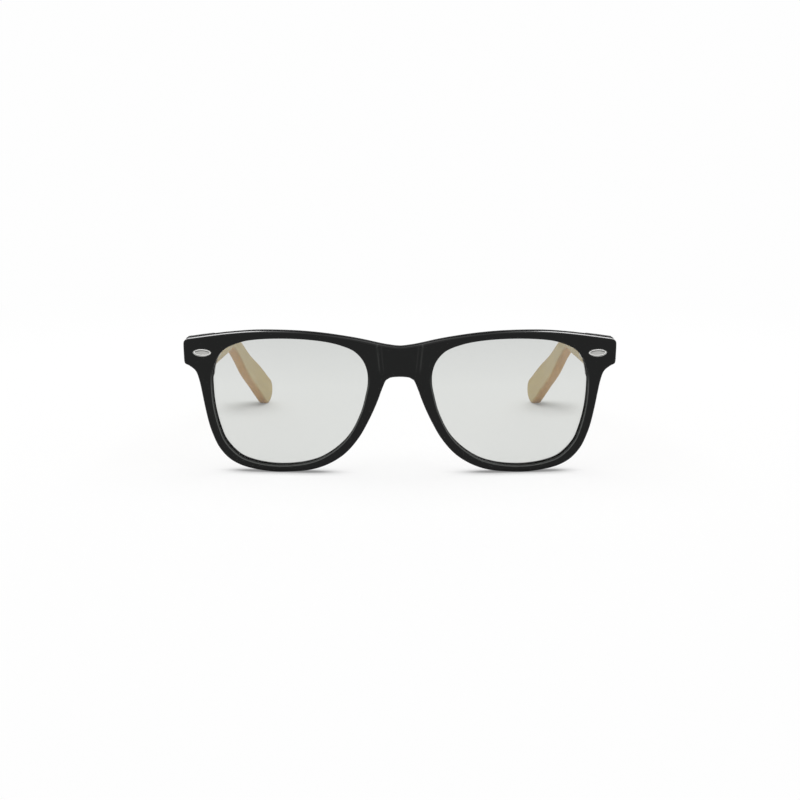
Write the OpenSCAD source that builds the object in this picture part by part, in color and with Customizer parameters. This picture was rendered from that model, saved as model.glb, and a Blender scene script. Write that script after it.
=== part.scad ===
// Square-cornered glasses with a black moulded front and bamboo temples.
// Millimetres. X runs across the face, Y from the front to the ear ends, Z is up.
// Both rim bottoms and both ear ends stand on the plane Z = 0.

/* [Front] */
// Width of one lens opening
lens_w = 52.5; // [48:0.1:56]
// Height of one lens opening
lens_h = 43.8; // [38:0.1:48]
// Distance between the two lens openings
bridge_w = 21.6; // [16:0.1:26]
// Width of the rim under the opening
rim_bottom = 2.6; // [1.8:0.1:3.4]
// Width of the rim above the opening
rim_top = 2.4; // [1.6:0.1:3.5]
// Width of the rim beside the temple
rim_side = 3.5; // [2.6:0.1:5]
// Width of the rim beside the nose
rim_nose = 4.6; // [3.4:0.1:5.5]
// How far the winged end piece stands out past the opening
wing_w = 9.7; // [8.4:0.05:12]
// Thickness of the front
front_t = 4.2; // [3.6:0.1:5.5]
// Radius that the front is bowed to
bow_r = 420; // [300:5:700]
// Forward lean of the front as it stands, in degrees
lean = 4.5; // [2:0.5:7]
// Turn of each opening toward its side of the head, in degrees
wrap = 5; // [0:0.5:8]
// Height of the flat under each rim that it stands on
foot_flat = 0.12; // [0.05:0.01:0.3]

/* [Lens] */
// Thickness of the lens
lens_t = 2.0; // [1.6:0.1:2.4]
// Depth of the groove that holds the lens
groove_d = 0.75; // [0.5:0.05:1]
// Distance from the front's face to the lens
lens_inset = 1.1; // [0.6:0.1:1.6]
// Play between lens and groove
lens_play = 0.05; // [0.02:0.01:0.1]

/* [Bridge and nose] */
// Depth of the dip of the top edge at the middle
bridge_dip = 4.95; // [3:0.05:8]
// Height of the nose arch above the lens openings' lowest point
arch_h = 30.9; // [27:0.1:33]
// How far a nose pad stands out behind the rim
pad_d = 5.0; // [3:0.1:7]
// Height of a nose pad
pad_h = 13.5; // [10:0.5:17]
// Thickness of a nose pad at its edge
pad_t = 1.9; // [1.4:0.1:3]

/* [Oval plates] */
// Length of the oval plate
oval_w = 6.4; // [4:0.1:8]
// Height of the oval plate
oval_h = 2.7; // [2:0.1:4]
// Thickness of the oval plate
oval_t = 0.9; // [0.6:0.1:1.2]
// How far the oval plate stands out of the front
oval_out = 0.35; // [0.1:0.05:0.5]
// Distance of the oval plate's middle from the opening's outer edge
oval_x = 2.95; // [2:0.05:5]

/* [Temple] */
// Thickness of the bamboo
temple_t = 3.9; // [3:0.1:5]
// Height of the temple where it meets the front
temple_h = 10.4; // [8:0.1:12]
// Height of the temple at the bend over the ear
bend_h = 6.2; // [5:0.1:9]
// Height of the temple at its ear end
tip_h = 10.8; // [9:0.1:14]
// Length of the straight stretch, from front to back
straight_l = 65; // [55:0.5:75]
// Length of the bent stretch, from front to back
hook_l = 57.5; // [50:0.5:70]
// How far the middle line falls along the straight stretch
straight_fall = 5; // [2:0.1:8]
// How far the ear end lies inward of the hinge end
temple_bow = 12.5; // [6:0.1:16]
// Gap between the closed temple and the front
joint_gap = 0.6; // [0.3:0.05:1]
// Depth of the bevel that lets the temple turn outward past the front
corner_d = 0.4; // [0.2:0.05:0.8]
// Width of that bevel
corner_w = 1.3; // [0.8:0.1:2]

/* [Hinge] */
// Radius of the two knuckles on the front
knuckle_r = 1.35; // [1.2:0.05:1.6]
// Height of one knuckle
knuckle_h = 1.7; // [1.2:0.1:2.5]
// Radius of the turning eye
eye_r = 1.3; // [1.1:0.05:1.5]
// Height of the turning eye
eye_h = 2.0; // [1.6:0.1:3]
// Radius of the hinge screw
pivot_r = 0.7; // [0.5:0.05:0.8]
// Play round the screw in the eye
pivot_play = 0.05; // [0.02:0.01:0.1]
// Play between eye and knuckles, each side
side_play = 0.05; // [0.02:0.01:0.1]
// Thickness of the leaf on the front
leaf_t = 0.6; // [0.4:0.05:1]
// Depth of the leaf's anchor in the plastic
anchor_d = 2.6; // [1.5:0.1:3]

/* [Spring box] */
// Length of the spring box
box_l = 12.0; // [11:0.5:16]
// Height of the spring box
box_h = 4.2; // [3.8:0.1:6]
// Depth that the box is let into the bamboo
box_inset = 0.9; // [0.5:0.1:1.4]
// Radius of the spring's chamber
chamber_r = 1.2; // [1.1:0.05:1.5]
// Radius of the plunger rod
rod_r = 0.5; // [0.4:0.05:0.6]
// Thickness of the spring's wire
wire_d = 0.32; // [0.2:0.02:0.4]
// Turns of the spring
spring_turns = 9; // [6:1:12]
// How far the temple draws back on its spring
draw_l = 1.2; // [0.5:0.1:1.5]
// Length of the screwed tab behind the box
tab_l = 7; // [6:0.5:10]
// Thickness of the tab
tab_t = 0.9; // [0.6:0.1:1.2]
// Radius of the two fixing screws
fix_r = 0.5; // [0.4:0.05:0.7]

/* [Hidden] */

big = 400;
slack = 0.05;
step = 5;

// The opening's inner, outer, lower and upper lines, for the half with X above 0.
lens_in = bridge_w / 2;
lens_out = lens_in + lens_w;
half_w = lens_out + wing_w;
lens_low = rim_bottom;
lens_top = rim_bottom + lens_h;
front_h = lens_top + rim_top;

// A point of the opening, from shares of its width and height.
function at(u, w) = [lens_in + lens_w * u, lens_low + lens_h * w];

// The same point moved outward from the opening by a rim.
function by(u, w, i, j) = at(u, w) + [i, j];

// A smooth curve through points: one stretch, an open run and a closed loop.
function bend(a, b, c, d, t) = 0.5 * (2 * b + (c - a) * t + (2 * a - 5 * b + 4 * c - d) * t * t
  + (3 * b - a - 3 * c + d) * t * t * t);
function run(p, n = step) = let (m = len(p)) concat(
  [for (i = [0 : m - 2]) for (k = [0 : n - 1])
    bend(i > 0 ? p[i - 1] : 2 * p[0] - p[1], p[i], p[i + 1],
      i + 2 < m ? p[i + 2] : 2 * p[m - 1] - p[m - 2], k / n)],
  [p[m - 1]]);
function loop(p, n = step) = let (m = len(p))
  [for (i = [0 : m - 1]) for (k = [0 : n - 1])
    bend(p[(i + m - 1) % m], p[i], p[(i + 1) % m], p[(i + 2) % m], k / n)];

function unit(v) = v / norm(v);
function turned(v) = [v[1], -v[0]];

// The lens opening, from its upper outer corner over the top to the nose and round.
opening_pts = [
  at(0.914, 0.907), at(0.809, 0.965), at(0.705, 0.989), at(0.556, 1.000), at(0.403, 0.997),
  at(0.270, 0.981), at(0.169, 0.953), at(0.086, 0.910), at(0.030, 0.838), at(0.003, 0.752),
  at(0.000, 0.659), at(0.014, 0.565), at(0.044, 0.433), at(0.107, 0.272), at(0.186, 0.159),
  at(0.289, 0.070), at(0.390, 0.024), at(0.509, 0.001), at(0.631, 0.000), at(0.750, 0.024),
  at(0.839, 0.071), at(0.919, 0.172), at(0.959, 0.287), at(0.988, 0.433), at(1.000, 0.580),
  at(0.998, 0.717), at(0.972, 0.820)
];

// The outer edge, from the middle of the bridge over the top, round the wing and the rim.
side = rim_side;
nose = rim_nose;
wing = half_w;
foot = by(0.606, 0, 0.5, -rim_bottom - 0.1);
arch_z = lens_low + arch_h;
edge_pts = [
  [0, front_h - bridge_dip], [3.8, front_h - bridge_dip + 0.42],
  by(-0.073, 0.965, 0, 0), by(0.017, 0.989, 0, 0), by(0.116, 1.011, 0, 0),
  by(0.270, 0.982, 0, rim_top), by(0.423, 0.997, 0, rim_top), by(0.577, 1.001, 0, rim_top),
  by(0.730, 0.996, 0, rim_top), by(0.883, 0.977, 0, rim_top), [wing - 8.9, front_h - 2.05],
  [wing - 3.9, front_h - 2.9], [wing - 1.4, front_h - 3.4], [wing - 0.25, front_h - 4.4],
  [wing, front_h - 6.3], [wing, front_h - 9.2], [wing - 0.05, front_h - 10.7],
  [wing - 0.6, front_h - 12.0], [wing - 2.3, front_h - 12.9], [wing - 4.2, front_h - 14.6],
  by(1.000, 0.650, side + 0.95, 0), by(1.000, 0.569, side + 0.25, 0),
  by(0.988, 0.444, side - 0.1, -0.1), by(0.966, 0.331, side - 0.05, -0.4),
  by(0.945, 0.250, side - 0.2, -0.9), by(0.919, 0.169, side - 0.9, -1.9),
  by(0.862, 0.083, side - 1.25, -rim_bottom + 0.6), by(0.789, 0.026, 1.8, -rim_bottom + 0.7),
  by(0.704, 0.010, 1.0, -rim_bottom + 0.1), foot,
  by(0.511, 0, 0.3, -rim_bottom), by(0.394, 0.012, 0, -rim_bottom + 0.1),
  by(0.304, 0.044, -0.7, -rim_bottom + 0.2), by(0.232, 0.099, -1.9, -rim_bottom + 0.4),
  by(0.187, 0.150, -nose + 1.1, -1.1), by(0.127, 0.252, -nose + 0.6, -0.9),
  by(0.079, 0.368, -nose + 0.3, -0.9), by(0.043, 0.467, -nose + 0.15, -0.9),
  by(0.019, 0.549, -nose, -1.0), by(-0.002, 0.627, -nose, -1.3),
  [4.75, arch_z - 1.5], [3.9, arch_z - 0.72], [2.75, arch_z - 0.2], [0, arch_z]
];

module opening_shape(grow = 0) {
  p = loop(opening_pts);
  m = len(p);
  polygon([for (i = [0 : m - 1]) p[i] + grow * unit(turned(p[(i + 1) % m] - p[(i + m - 1) % m]))]);
}
module half_shape() {
  polygon(run(edge_pts));
}
module edge_shape() {
  p = run(edge_pts);
  m = len(p);
  polygon(concat(p, [for (i = [m - 2 : -1 : 1]) [-p[i][0], p[i][1]]]));
}

// Stands a flat shape up in the plane of the front, from depth y0 back to depth y1.
module stood(y0, y1) {
  translate([0, y1, 0]) rotate([90, 0, 0]) linear_extrude(y1 - y0) children();
}
// The layer of the bowed front between two depths behind its face.
module layer(d0, d1) {
  translate([0, bow_r, -20]) difference() {
    cylinder(r = bow_r - d0, h = 120, $fn = 180);
    translate([0, 0, -1]) cylinder(r = bow_r - d1, h = 122, $fn = 180);
  }
}
// Turns what follows one opening about its middle, so that its back lies nearer the nose.
lens_mid = (lens_in + lens_out) / 2;
lens_face = bow_r - sqrt(bow_r * bow_r - lens_mid * lens_mid);
module wrapped() {
  translate([lens_mid, lens_face, 0]) rotate([0, 0, wrap]) translate([-lens_mid, -lens_face, 0]) children();
}
// How far the leaning front comes down until its feet lie a flat's height under the ground.
drop = -(bow_r - sqrt(bow_r * bow_r - foot[0] * foot[0])) * sin(lean) - foot[1] * cos(lean) - foot_flat;
// From the front's own upright frame to the leaning one, and to the part's origin.
module leant() {
  translate([0, -mid_y, drop]) rotate([lean, 0, 0]) children();
}
module placed() {
  translate([0, -mid_y, 0]) children();
}
// One side, or its mirror image.
module sided(right) {
  if (right) children();
  else mirror([1, 0, 0]) children();
}

// Hinge axis, joint plane and temple, all from the front's sizes.
axis_x = lens_out + 0.7;
axis_z = front_h - 9.0 + drop;
back_y = bow_r - sqrt(pow(bow_r - front_t, 2) - axis_x * axis_x) - axis_z * sin(lean);
leaf_y = back_y + 2.5;
axis_y = leaf_y + leaf_t + knuckle_r;
joint_y = axis_y;
block_y = joint_y - joint_gap;
hinge_h = 2 * knuckle_h + eye_h + 2 * side_play;
temple_in = axis_x + knuckle_r + 0.3;
temple_x = temple_in + temple_t / 2;

// Middle line of the temple seen from the side, with its height at each point.
tip_y = joint_y + straight_l + hook_l;
// Middle of the whole depth, from the bridge's top edge to the ear end.
mid_y = (tip_y + tip_h / 2 - (front_h - bridge_dip) * sin(lean)) / 2;
tip_z = tip_h / 2 - foot_flat;
bend_z = axis_z - straight_fall;
side_line = [
  [joint_y, axis_z, temple_h], [joint_y + 0.2 * straight_l, axis_z - 0.32 * straight_fall, temple_h + 0.5],
  [joint_y + 0.5 * straight_l, axis_z - 0.66 * straight_fall, 0.55 * temple_h + 0.45 * bend_h],
  [joint_y + 0.8 * straight_l, axis_z - 0.88 * straight_fall, 0.2 * temple_h + 0.8 * bend_h],
  [joint_y + straight_l, bend_z, bend_h],
  [tip_y - 0.74 * hook_l, bend_z - 0.215 * (bend_z - tip_z), 0.8 * bend_h + 0.2 * tip_h],
  [tip_y - 0.48 * hook_l, bend_z - 0.485 * (bend_z - tip_z), 0.43 * bend_h + 0.57 * tip_h],
  [tip_y - 0.23 * hook_l, bend_z - 0.725 * (bend_z - tip_z), 0.15 * bend_h + 0.85 * tip_h],
  [tip_y, tip_z, tip_h]
];
// Middle line of the temple seen from above.
plan_line = [
  [temple_x, joint_y - 5], [temple_x - 0.10 * temple_bow, joint_y + 0.4 * straight_l],
  [temple_x - 0.25 * temple_bow, joint_y + straight_l],
  [temple_x - 0.355 * temple_bow, tip_y - 0.74 * hook_l],
  [temple_x - 0.49 * temple_bow, tip_y - 0.48 * hook_l],
  [temple_x - 0.67 * temple_bow, tip_y - 0.23 * hook_l],
  [temple_x - temple_bow, tip_y + tip_h / 2]
];
function along(p, i) = unit(p[min(i + 1, len(p) - 1)] - p[max(i - 1, 0)]);

module temple_side() {
  c = run(side_line);
  p = [for (q = c) [q[0], q[1]]];
  up = [for (i = [0 : len(p) - 1]) p[i] + c[i][2] / 2 * [-along(p, i)[1], along(p, i)[0]]];
  low = [for (i = [0 : len(p) - 1]) p[i] - c[i][2] / 2 * [-along(p, i)[1], along(p, i)[0]]];
  last = along(p, len(p) - 1);
  a = atan2(last[0], -last[1]);
  tip = [for (k = [1 : 17]) p[len(p) - 1] + tip_h / 2 * [cos(a - 10 * k), sin(a - 10 * k)]];
  polygon(concat(up, tip, [for (i = [len(low) - 1 : -1 : 0]) low[i]]));
}
module temple_plan(t = temple_t) {
  p = run(plan_line);
  out = [for (i = [0 : len(p) - 1]) p[i] + t / 2 * [along(p, i)[1], -along(p, i)[0]]];
  inn = [for (i = [0 : len(p) - 1]) p[i] - t / 2 * [along(p, i)[1], -along(p, i)[0]]];
  polygon(concat(out, [for (i = [len(inn) - 1 : -1 : 0]) inn[i]]));
}

// Hinge frame: its origin on the screw's axis, X toward the outside, Y to the ear.
module at_hinge() {
  translate([axis_x, axis_y, axis_z]) children();
}
module block_at(x0, x1, y0, y1, z0, z1) {
  translate([x0, y0, z0]) cube([x1 - x0, y1 - y0, z1 - z0]);
}
module rod_at(r, y0, y1) {
  translate([0, y1, 0]) rotate([90, 0, 0]) cylinder(r = r, h = y1 - y0, $fn = 32);
}

// Spring box, in the hinge frame.
box_y0 = knuckle_r + 0.15;
box_y1 = box_y0 + box_l;
chamber_y1 = box_y1 - 0.7;
cap_l = 1.0;
cap_y1 = chamber_y1 - 0.4;
cap_y0 = cap_y1 - cap_l;
shank_h = eye_h - 0.1;
shank_w = 1.5;
shank_y = box_y0 + 1.7;
wall_y = shank_y + draw_l;
box_in = -chamber_r - 0.55;
face_x = temple_in - axis_x;
box_out = face_x + box_inset;
tab_y1 = box_y1 + tab_l;
fix_ys = [box_y1 + 0.27 * tab_l, box_y1 + 0.74 * tab_l];
fix_l = temple_t - 1.0;
head_h = 0.35;
head_r = fix_r + 0.42;

// Nose pad, seen along the rim from above: out from the middle, and back.
module pad_plan() {
  hull() {
    translate([0.9, front_t - 0.6]) circle(r = 0.9, $fn = 24);
    translate([3.0, front_t - 0.6]) circle(r = 0.9, $fn = 24);
    translate([1.9, front_t + pad_d - pad_t / 2]) circle(r = pad_t / 2, $fn = 24);
  }
}
// The rim beside the nose is straight enough for the pad to follow one line.
pad_foot = by(0.127, 0.252, -nose + 0.75, -0.9);
pad_head = by(0.019, 0.549, -nose + 0.15, -1.0);
pad_turn = atan2(pad_foot[0] - pad_head[0], pad_head[1] - pad_foot[1]);
pad_sag = bow_r - sqrt(bow_r * bow_r - pow((pad_foot[0] + pad_head[0]) / 2, 2));
module nose_pad() {
  translate([(pad_foot[0] + pad_head[0]) / 2, pad_sag, (pad_foot[1] + pad_head[1]) / 2])
    rotate([0, -pad_turn, 0]) intersection() {
      translate([0, 0, -pad_h / 2]) linear_extrude(pad_h) pad_plan();
      translate([-10, front_t - 1.5, 0]) rotate([0, 90, 0])
        cylinder(r = pad_h / 2, h = 30, $fn = 64);
    }
}

// Winged end piece: the front's outline carried back to the joint plane, and cut clear of
// the hinge's knuckles.
module end_block() {
  intersection() {
    stood(4, block_y + 12) half_shape();
    translate([0, bow_r, -20]) cylinder(r = bow_r - front_t + 0.4, h = 120, $fn = 180);
    block_at(axis_x - knuckle_r, half_w + 1, 0, 40, axis_z - 6.6, front_h + 5);
  }
}
module end_trim() {
  translate([0, -mid_y, 0]) {
    block_at(0, axis_x + knuckle_r + 0.2, leaf_y, 60, -20, 100);
    block_at(0, big, block_y, 60, -20, 100);
    translate([half_w - 0.2, block_y - 7, -20]) rotate([0, 0, 21]) cube([20, 30, 120]);
    translate([0, block_y, axis_z + temple_h / 2]) rotate([-16, 0, 0]) translate([0, -12, 0]) cube([big, 30, 20]);
  }
}
module pockets() {
  at_hinge() {
    block_at(-0.8 - slack, 0.8 + slack, -knuckle_r - leaf_t - anchor_d - slack, 0.1 - knuckle_r - leaf_t,
      -hinge_h / 3 - slack, hinge_h / 3 + slack);
  }
}

// Face angle of the bowed front where the oval plate sits.
oval_at = lens_out + oval_x;
oval_z = front_h - 7.75;
oval_a = asin(oval_at / bow_r);
module on_face() {
  translate([bow_r * sin(oval_a), bow_r - bow_r * cos(oval_a), oval_z]) rotate([0, 0, oval_a])
    rotate([90, 0, 0]) children();
}
module oval(r_more, h) {
  linear_extrude(h)
    polygon([for (a = [0 : 6 : 354]) [(oval_w / 2 + r_more) * cos(a), (oval_h / 2 + r_more) * sin(a)]]);
}
pin_x = oval_w / 2 - 1.5;
pin_l = 1.1;

module frame_front() {
  color("#232423") intersection() {
    difference() {
      union() {
        leant() intersection() {
          stood(-5, 40) edge_shape();
          layer(0, front_t);
        }
        difference() {
          leant() for (s = [0, 1]) mirror([s, 0, 0]) end_block();
          for (s = [0, 1]) mirror([s, 0, 0]) end_trim();
        }
        leant() for (s = [0, 1]) mirror([s, 0, 0]) nose_pad();
      }
      leant() for (s = [0, 1]) mirror([s, 0, 0]) {
        wrapped() stood(-9, front_t + 12) opening_shape();
        intersection() {
          wrapped() stood(-9, 20) opening_shape(groove_d);
          layer(lens_inset, lens_inset + lens_t + 2 * lens_play);
        }
        on_face() {
          translate([0, 0, oval_out - oval_t - slack]) oval(slack, 4);
          for (s = [-1, 1]) translate([s * pin_x, 0, -oval_t - pin_l])
            cylinder(r = 0.4 + slack, h = 3, $fn = 24);
        }
      }
      for (s = [0, 1]) mirror([s, 0, 0]) placed() pockets();
    }
    translate([-big / 2, -big / 2, 0]) cube(big);
  }
}

module lens(right) {
  color("#dcdedb", 0.35) sided(right) leant() intersection() {
    wrapped() stood(-9, 20) opening_shape(groove_d - lens_play);
    layer(lens_inset + lens_play, lens_inset + lens_play + lens_t);
  }
}

module rivet_plate(right) {
  color("#c5c6c1") sided(right) leant() on_face() {
    translate([0, 0, oval_out - oval_t]) {
      oval(0, oval_t - 0.25);
      translate([0, 0, oval_t - 0.26]) oval(-0.25, 0.26);
    }
    for (s = [-1, 1]) translate([s * pin_x, 0, oval_out - oval_t - pin_l + 0.1])
      cylinder(r = 0.4, h = pin_l, $fn = 24);
  }
}

module hinge_leaf(right) {
  color("#b9bbbd") sided(right) placed() at_hinge() difference() {
    union() {
      block_at(-knuckle_r, knuckle_r, -knuckle_r - leaf_t, -knuckle_r, -hinge_h / 2, hinge_h / 2);
      block_at(-0.8, 0.8, -knuckle_r - leaf_t - anchor_d, -knuckle_r - leaf_t / 2, -hinge_h / 3, hinge_h / 3);
      for (z = [-hinge_h / 2, hinge_h / 2 - knuckle_h]) {
        translate([0, 0, z]) cylinder(r = knuckle_r, h = knuckle_h, $fn = 48);
        block_at(-0.9, 0.9, -knuckle_r - leaf_t / 2, 0, z, z + knuckle_h);
      }
    }
    translate([0, 0, -5]) cylinder(r = pivot_r + 0.02, h = 10, $fn = 48);
  }
}

module hinge_screw(right) {
  color("#a9abad") sided(right) placed() at_hinge() {
    translate([0, 0, -hinge_h / 2]) cylinder(r = pivot_r, h = hinge_h + 0.1, $fn = 48);
    difference() {
      translate([0, 0, hinge_h / 2]) cylinder(r = pivot_r + 0.4, h = 0.6, $fn = 48);
      block_at(-2, 2, -0.15, 0.15, hinge_h / 2 + 0.3, hinge_h / 2 + 1);
    }
  }
}

module hinge_slider(right) {
  color("#b9bbbd") sided(right) placed() at_hinge() {
    difference() {
      union() {
        translate([0, 0, -eye_h / 2]) cylinder(r = eye_r, h = eye_h, $fn = 48);
        block_at(-shank_w / 2, shank_w / 2, 0, shank_y, -shank_h / 2, shank_h / 2);
      }
      translate([0, 0, -5]) cylinder(r = pivot_r + pivot_play, h = 10, $fn = 48);
    }
    rod_at(rod_r, shank_y - 0.2, cap_y1);
  }
}

module spring_cap(right) {
  color("#8f9294") sided(right) placed() at_hinge() difference() {
    rod_at(chamber_r - 0.08, cap_y0, cap_y1);
    rod_at(rod_r + 0.01, cap_y0 - 1, cap_y1 + 1);
  }
}

// One unbroken wire: rings of wire_d along a helix between the box's wall and the cap.
helix_r = (rod_r + chamber_r) / 2;
module hinge_spring(right) {
  n = 10;
  y0 = wall_y + wire_d / 2 + 0.02;
  y1 = cap_y0 - wire_d / 2 - 0.02;
  m = spring_turns * n;
  pitch = (y1 - y0) / (360 * spring_turns);
  lift = atan2(y1 - y0, 2 * PI * helix_r * spring_turns);
  ring = [for (i = [0 : m]) for (k = [0 : 5])
    let (a = 360 * spring_turns * i / m, b = 60 * k, q = helix_r + wire_d / 2 * cos(b), s = wire_d / 2 * sin(b))
    [q * cos(a) + s * sin(lift) * sin(a), y0 + pitch * a + s * cos(lift), q * sin(a) - s * sin(lift) * cos(a)]];
  walls = [for (i = [0 : m - 1]) for (k = [0 : 5])
    let (a = 6 * i + k, b = 6 * i + (k + 1) % 6) each [[a, b + 6, b], [a, a + 6, b + 6]]];
  ends = [for (k = [1 : 4]) each [[0, k, k + 1], [6 * m, 6 * m + k + 1, 6 * m + k]]];
  color("#9ea1a3") sided(right) placed() at_hinge() polyhedron(ring, concat(walls, ends));
}

module spring_box_body(more = 0) {
  difference() {
    block_at(box_in - more, box_out + more, box_y0, box_y1 + more, -box_h / 2 - more, box_h / 2 + more);
    if (more == 0) translate([box_in, box_y0, 0]) rotate([0, 0, 45]) cube([0.9, 0.9, 10], center = true);
  }
  block_at(box_out - tab_t, box_out + more, box_y1 - 0.5, tab_y1 + more, -box_h / 2 - more, box_h / 2 + more);
}
module spring_box(right) {
  color("#b4b6b8") sided(right) placed() at_hinge() difference() {
    spring_box_body();
    block_at(-shank_w / 2 - 0.05, shank_w / 2 + 0.05, box_y0 - 1, shank_y + 0.25, -shank_h / 2 - 0.05, shank_h / 2 + 0.05);
    rod_at(rod_r + 0.06, 0, wall_y + 0.1);
    rod_at(chamber_r, wall_y, chamber_y1);
    for (y = fix_ys) translate([0, y, 0]) rotate([0, 90, 0]) cylinder(r = fix_r + 0.03, h = 10, $fn = 32);
  }
}

module box_screws(right) {
  color("#a9abad") sided(right) placed() at_hinge() for (y = fix_ys) {
    translate([box_out - tab_t - head_h, y, 0]) rotate([0, 90, 0]) difference() {
      cylinder(r = head_r, h = head_h, $fn = 32);
      block_at(-2, 2, -0.12, 0.12, -1, head_h / 2);
    }
    translate([box_out - tab_t - 0.05, y, 0]) rotate([0, 90, 0]) cylinder(r = fix_r, h = fix_l, $fn = 32);
  }
}

module temple(right) {
  color("#dcbf8a") sided(right) placed() intersection() {
    difference() {
      intersection() {
        translate([0, 0, 0]) rotate([90, 0, 90]) linear_extrude(half_w + 10) temple_side();
        translate([0, 0, -20]) linear_extrude(120) temple_plan();
      }
      at_hinge() {
        spring_box_body(slack);
        block_at(0, face_x, -1, box_y0, -hinge_h, hinge_h);
        for (y = fix_ys) {
          translate([box_out - tab_t - 0.1, y, 0]) rotate([0, 90, 0])
            cylinder(r = fix_r + 0.02, h = fix_l + 0.1, $fn = 32);
          block_at(box_in, box_out - tab_t, y - head_r - 0.1, y + head_r + 0.1, -head_r - 0.1, head_r + 0.1);
        }
      }
      translate([temple_in + temple_t, joint_y + corner_d, -20]) rotate([0, 0, atan2(corner_d, corner_w)])
        translate([-9, -9, 0]) cube([18, 9, 200]);
    }
    translate([0, joint_y, 0]) cube(big);
  }
}

frame_front();
lens(false);  // lens_left
lens(true);  // lens_right
rivet_plate(false);  // rivet_plate_left
rivet_plate(true);  // rivet_plate_right
hinge_leaf(false);  // hinge_leaf_left
hinge_leaf(true);  // hinge_leaf_right
hinge_screw(false);  // hinge_screw_left
hinge_screw(true);  // hinge_screw_right
hinge_slider(false);  // hinge_slider_left
hinge_slider(true);  // hinge_slider_right
spring_cap(false);  // spring_cap_left
spring_cap(true);  // spring_cap_right
hinge_spring(false);  // hinge_spring_left
hinge_spring(true);  // hinge_spring_right
spring_box(false);  // spring_box_left
spring_box(true);  // spring_box_right
box_screws(false);  // box_screws_left
box_screws(true);  // box_screws_right
temple(false);  // temple_left
temple(true);  // temple_right
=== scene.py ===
"""Square-cornered glasses: a black moulded front, pale lenses, oval plates and bamboo temples."""
import math

import bmesh
import bpy
import numpy as np
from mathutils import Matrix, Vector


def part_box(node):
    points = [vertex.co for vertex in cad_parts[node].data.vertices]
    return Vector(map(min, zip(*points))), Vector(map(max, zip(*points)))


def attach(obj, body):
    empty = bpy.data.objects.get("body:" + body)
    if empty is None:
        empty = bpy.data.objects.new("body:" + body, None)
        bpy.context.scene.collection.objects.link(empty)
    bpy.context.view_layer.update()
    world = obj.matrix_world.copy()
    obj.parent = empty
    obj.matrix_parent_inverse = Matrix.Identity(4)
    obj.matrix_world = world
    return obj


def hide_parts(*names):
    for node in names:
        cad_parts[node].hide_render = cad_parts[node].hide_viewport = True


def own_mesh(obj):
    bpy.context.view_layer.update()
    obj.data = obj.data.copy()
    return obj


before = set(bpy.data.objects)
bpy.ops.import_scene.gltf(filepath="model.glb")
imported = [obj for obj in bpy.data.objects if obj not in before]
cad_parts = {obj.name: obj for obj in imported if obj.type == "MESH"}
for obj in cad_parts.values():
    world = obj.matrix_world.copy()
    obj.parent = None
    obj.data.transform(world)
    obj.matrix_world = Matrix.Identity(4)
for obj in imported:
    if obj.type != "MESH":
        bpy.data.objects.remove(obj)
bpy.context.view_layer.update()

# ---- Front ------------------------------------------------------------------
# One piece of black moulded plastic: both rims, the bridge, the winged end pieces and the nose
# pads. It is polished in front of the seam between the two mould halves and satin behind it.
lens_w, lens_h, bridge_w = 52.5, 43.8, 21.6
rim_bottom, rim_top, rim_side, rim_nose = 2.6, 2.4, 3.5, 4.6
wing_w, front_t, bow_r, lean = 9.7, 4.2, 420.0, math.radians(4.5)
bridge_dip, arch_h, wrap = 4.95, 30.9, math.radians(5)
lens_in = bridge_w / 2
lens_out = lens_in + lens_w
half_w = lens_out + wing_w
front_h = rim_bottom + lens_h + rim_top
arch_z = rim_bottom + arch_h
lens_mid = (lens_in + lens_out) / 2
lens_face = bow_r - math.sqrt(bow_r**2 - lens_mid**2)
lens_inset, lens_t, groove_d = 1.1, 2.0, 0.75

# From the upright front's own frame to the part's: leant, then moved forward by mid_y, half the
# depth of the glasses, and down by drop. The hinge's axis is that of the CAD screw.
mid_y, drop = 67.4786, -0.1944
low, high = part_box("hinge_screw_right")
axis_x = 1000 * (low.x + high.x) / 2
axis_y = 1000 * (low.y + high.y) / 2 + mid_y
# The end piece ends joint_gap before the hinge's axis. Its inner part makes room for the leaf and
# the knuckles.
joint_gap, leaf_t, knuckle_r = 0.6, 0.6, 1.35
block_y = axis_y - joint_gap
leaf_y = axis_y - leaf_t - knuckle_r


def at(u, w, i=0.0, j=0.0):
    """A point of the lens opening, from shares of its width and height, moved by i and j."""
    return (lens_in + lens_w * u + i, rim_bottom + lens_h * w + j)


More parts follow.
